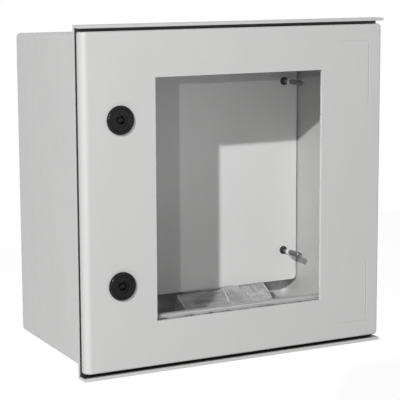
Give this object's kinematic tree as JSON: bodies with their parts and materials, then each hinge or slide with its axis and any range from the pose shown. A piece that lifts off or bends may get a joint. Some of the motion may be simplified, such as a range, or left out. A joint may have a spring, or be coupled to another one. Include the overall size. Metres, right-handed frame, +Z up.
{
  "type": "electrical enclosure",
  "caption": "Wall-mounted grey plastic electrical enclosure with a hinged glazed door, key locks, a rain lip above and below, and an inner mounting plate on studs.",
  "frame": {"origin": "centre of the four wall-fixing inserts, in the plane of the back face", "axes": "+X to the right seen from the front, +Y to the back, into the wall, +Z up"},
  "size_m": [0.4, 0.2125, 0.4],
  "materials": {
    "body_grey": "moulded, slightly glossy light grey polyester",
    "plate_paint": "satin light grey powder coat",
    "zinc_steel": "bright zinc plated",
    "dark_steel": "blackened steel",
    "white_nylon": "natural nylon",
    "brass": "turned",
    "black_plastic": "moulded black",
    "black_rubber": "foamed seal",
    "clear_pane": "clear polished sheet",
    "clamp_aluminium": "plain strip",
    "rail_grey": "plain grey angle rail",
    "clear_film": "thin clear bag film"
  },
  "bodies": {
    "case": {"enclosure_body": "body_grey", "wall_inserts": "brass", "plate_inserts": "brass", "mounting_plate": "plate_paint", "plate_studs": "zinc_steel", "plate_nuts": "dark_steel", "stud_collars": "white_nylon", "stud_sleeves": "zinc_steel", "hinge_bracket_upper": "zinc_steel", "hinge_bracket_lower": "zinc_steel", "hinge_screws": "zinc_steel", "fixings_bag": "clear_film", "wall_lugs": "zinc_steel", "lug_screws": "zinc_steel", "sealing_caps": "black_plastic", "lock_key": "black_plastic"},
    "door": {"door": "body_grey", "door_gasket": "black_rubber", "window_seal": "black_rubber", "window_pane": "clear_pane", "pane_clamp_left": "clamp_aluminium", "pane_clamp_right": "clamp_aluminium", "pane_clamp_top": "clamp_aluminium", "pane_support_rail": "rail_grey", "clamp_screws": "zinc_steel", "rail_screws": "zinc_steel", "hinge_pin_upper": "zinc_steel", "hinge_pin_lower": "zinc_steel", "lock_housing_upper": "black_plastic", "lock_housing_lower": "black_plastic", "lock_nut_upper": "black_plastic", "lock_nut_lower": "black_plastic", "lock_seal_upper": "black_rubber", "lock_seal_lower": "black_rubber"},
    "lock_upper": {"lock_core_upper": "black_plastic", "lock_cam_upper": "zinc_steel", "cam_screw_upper": "zinc_steel"},
    "lock_lower": {"lock_core_lower": "black_plastic", "lock_cam_lower": "zinc_steel", "cam_screw_lower": "zinc_steel"}
  },
  "joints": [
    {"name": "door_hinge", "type": "hinge", "parent": "case", "child": "door", "pos_m": [0.1924, -0.2018, 0], "axis": [0, 0, 1], "range_deg": [0, 120]},
    {"name": "lock_turn_upper", "type": "hinge", "parent": "door", "child": "lock_upper", "pos_m": [-0.1525, -0.208, 0.0942], "axis": [0, 1, 0], "range_deg": [0, 90]},
    {"name": "lock_turn_lower", "type": "hinge", "parent": "door", "child": "lock_lower", "pos_m": [-0.1525, -0.208, -0.0942], "axis": [0, 1, 0], "range_deg": [0, 90]}
  ]
}
